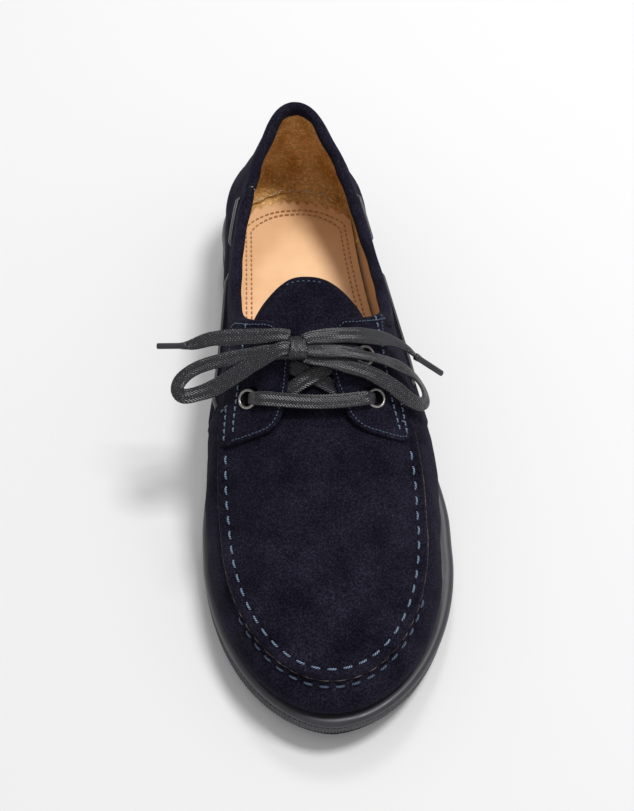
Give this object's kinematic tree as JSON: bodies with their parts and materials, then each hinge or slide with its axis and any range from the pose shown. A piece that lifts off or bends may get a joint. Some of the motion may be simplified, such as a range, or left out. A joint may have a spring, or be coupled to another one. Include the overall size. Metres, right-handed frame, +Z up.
{
  "type": "boat shoe",
  "caption": "Left suede boat shoe with a moc toe, flap eyestays, a tied flat lace, a side cord under the collar, a leather insole and a ribbed rubber sole.",
  "frame": {"origin": "centre of the footprint's box, on the floor the sole stands on", "axes": "+Z up, the toe points to -Y and the heel to +Y, +X is the outer (lateral) side of this left shoe"},
  "size_m": [0.1254, 0.292, 0.0911],
  "materials": {
    "suede": "napped suede, very dark navy",
    "insole_leather": "smooth tan leather",
    "rubber_ribbed": "matt, ribbed edge",
    "rubber_smooth": "satin",
    "lace": "waxed flat weave, charcoal",
    "aglet": "satin",
    "side_cord": "waxed, grey",
    "eyelet_metal": "gunmetal, polished"
  },
  "bodies": {
    "root": {"outsole": "rubber_ribbed", "midsole": "rubber_smooth", "insole": "insole_leather", "upper": "suede", "tongue": "suede", "eyestay_medial": "suede", "eyestay_lateral": "suede", "lace_lower_bar": "lace", "lace_crossing": "lace", "lace_upper_bar": "lace", "eyelet_medial_lower": "eyelet_metal", "eyelet_lateral_lower": "eyelet_metal", "eyelet_medial_upper": "eyelet_metal", "eyelet_lateral_upper": "eyelet_metal", "side_lace_medial_rear": "side_cord", "side_lace_medial_front": "side_cord", "side_lace_lateral_rear": "side_cord", "side_lace_lateral_front": "side_cord", "lace_knot": "lace", "lace_loop_medial": "lace", "lace_loop_lateral": "lace", "lace_end_medial": "lace", "lace_end_lateral": "lace", "aglet_medial": "aglet", "aglet_lateral": "aglet"}
  },
  "joints": []
}
